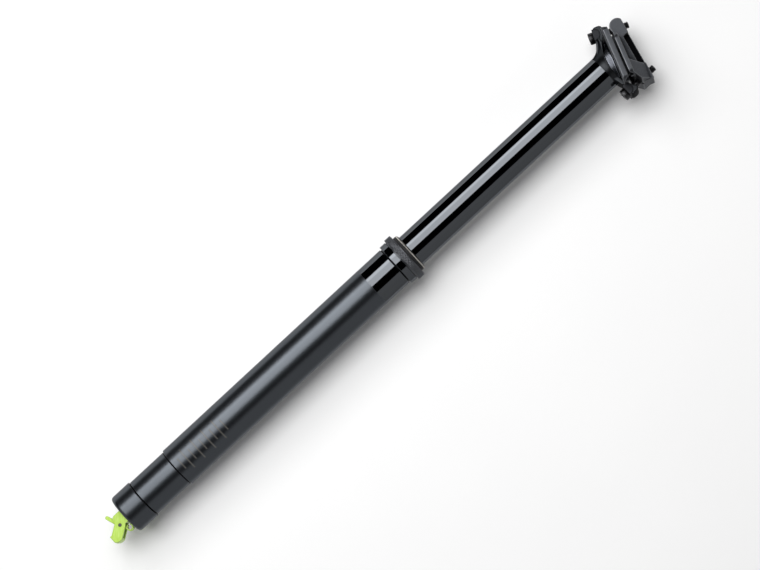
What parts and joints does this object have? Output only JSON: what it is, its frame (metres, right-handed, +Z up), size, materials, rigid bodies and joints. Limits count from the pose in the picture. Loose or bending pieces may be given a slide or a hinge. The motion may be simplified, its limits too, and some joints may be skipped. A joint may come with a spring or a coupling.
{
  "type": "dropper seatpost",
  "caption": "Height-adjustable bicycle seatpost: satin lower tube, glossy sliding stanchion, two-bolt saddle rail clamp and a lime cable release lever at the foot.",
  "frame": {"origin": "on the post's axis at the shoulder under the collar, where the frame's seat tube ends", "axes": "+Z up the post, +X to the front of the bicycle, +Y to its left"},
  "size_m": [0.0571, 0.053, 0.5124],
  "materials": {
    "satin_black_tube": "satin black anodised",
    "black_collar": "black anodised, glossy sleeve and matte flange",
    "gloss_black_stanchion": "polished hard black anodised",
    "blasted_grey_clamp": "bead-blasted dark grey anodised",
    "lime_anodised": "bright lime anodised",
    "black_rubber": "matte moulded rubber",
    "bushing_polymer": "bearing polymer",
    "brass": "turned",
    "black_steel": "black oxide",
    "bright_steel": "ground",
    "plain_aluminium": "turned"
  },
  "bodies": {
    "lower_post": {"outer_tube": "satin_black_tube", "collar": "black_collar", "collar_oring": "black_rubber", "wiper_seal": "black_rubber", "wiper_spring": "bright_steel", "upper_bushing": "bushing_polymer", "top_bumper": "black_rubber", "bottom_cap": "satin_black_tube", "cap_oring": "black_rubber", "bottom_bumper": "black_rubber", "cartridge_rod": "bright_steel", "main_piston": "plain_aluminium", "piston_seal": "black_rubber", "actuator_bracket": "lime_anodised", "pivot_pin": "bright_steel"},
    "upper_post": {"stanchion": "gloss_black_stanchion", "lower_bushing": "bushing_polymer", "guide_keys": "brass", "cartridge_body": "plain_aluminium", "inner_tube": "plain_aluminium", "rod_guide": "plain_aluminium", "rod_seal": "black_rubber", "guide_oring": "black_rubber", "cartridge_head": "plain_aluminium", "valve_core": "brass", "valve_cap": "bushing_polymer", "cartridge_nut": "plain_aluminium"},
    "gas_piston": {"floating_piston": "plain_aluminium", "floating_seals": "black_rubber"},
    "saddle_clamp": {"lower_clamp": "blasted_grey_clamp", "upper_clamp": "blasted_grey_clamp"},
    "front_screw": {"front_bolt": "black_steel", "front_washer": "black_steel"},
    "rear_screw": {"rear_bolt": "black_steel", "rear_washer": "black_steel"},
    "front_nut": {"front_barrel_nut": "black_steel"},
    "rear_nut": {"rear_barrel_nut": "black_steel"},
    "lever": {"release_lever": "lime_anodised"},
    "plunger": {"release_pin": "bright_steel", "valve_poppet": "brass"}
  },
  "joints": [
    {"name": "post_drop", "type": "slide", "parent": "lower_post", "child": "upper_post", "axis": [0, 0, 1], "range_m": [-0.18, 0], "stiffness_N_per_m": 450, "springref_m": 0.27},
    {"name": "gas_piston_rise", "type": "slide", "parent": "upper_post", "child": "gas_piston", "axis": [0, 0, 1], "range_m": [0, 0.071]},
    {"name": "saddle_tilt", "type": "hinge", "parent": "upper_post", "child": "saddle_clamp", "pos_m": [0.00684, 0, 0.23439], "axis": [0, 1, 0], "range_deg": [-5, 5]},
    {"name": "front_screw_lean", "type": "hinge", "parent": "upper_post", "child": "front_screw", "pos_m": [0.02167, 0, 0.203], "axis": [0, 1, 0], "range_deg": [-6.2, 6.2]},
    {"name": "rear_screw_lean", "type": "hinge", "parent": "upper_post", "child": "rear_screw", "pos_m": [-0.02294, 0, 0.213], "axis": [0, 1, 0], "range_deg": [-6.2, 6.2]},
    {"name": "front_nut_turn", "type": "hinge", "parent": "saddle_clamp", "child": "front_nut", "pos_m": [0.02155, 0, 0.21925], "axis": [0, 1, 0], "range_deg": [-11.5, 11.5]},
    {"name": "rear_nut_turn", "type": "hinge", "parent": "saddle_clamp", "child": "rear_nut", "pos_m": [-0.01647, 0, 0.22883], "axis": [0, 1, 0], "range_deg": [-11.5, 11.5]},
    {"name": "release_lever_pull", "type": "hinge", "parent": "lower_post", "child": "lever", "pos_m": [0.0034, 0, -0.2644], "axis": [0, 1, 0], "range_deg": [0, 25]},
    {"name": "release_pin_lift", "type": "slide", "parent": "lower_post", "child": "plunger", "axis": [0, 0, 1], "range_m": [0, 0.0014], "stiffness_N_per_m": 100, "springref_m": -0.0005}
  ],
  "couplings": [
    {"joint": "gas_piston_rise", "follows": "post_drop", "ratio": -0.3934},
    {"joint": "front_screw_lean", "follows": "saddle_tilt", "ratio": -0.9399},
    {"joint": "rear_screw_lean", "follows": "saddle_tilt", "ratio": -0.8225},
    {"joint": "front_nut_turn", "follows": "saddle_tilt", "ratio": -1.9399},
    {"joint": "rear_nut_turn", "follows": "saddle_tilt", "ratio": -1.8225},
    {"joint": "release_lever_pull", "follows": "release_pin_lift", "rad_per_m": 294.1}
  ]
}
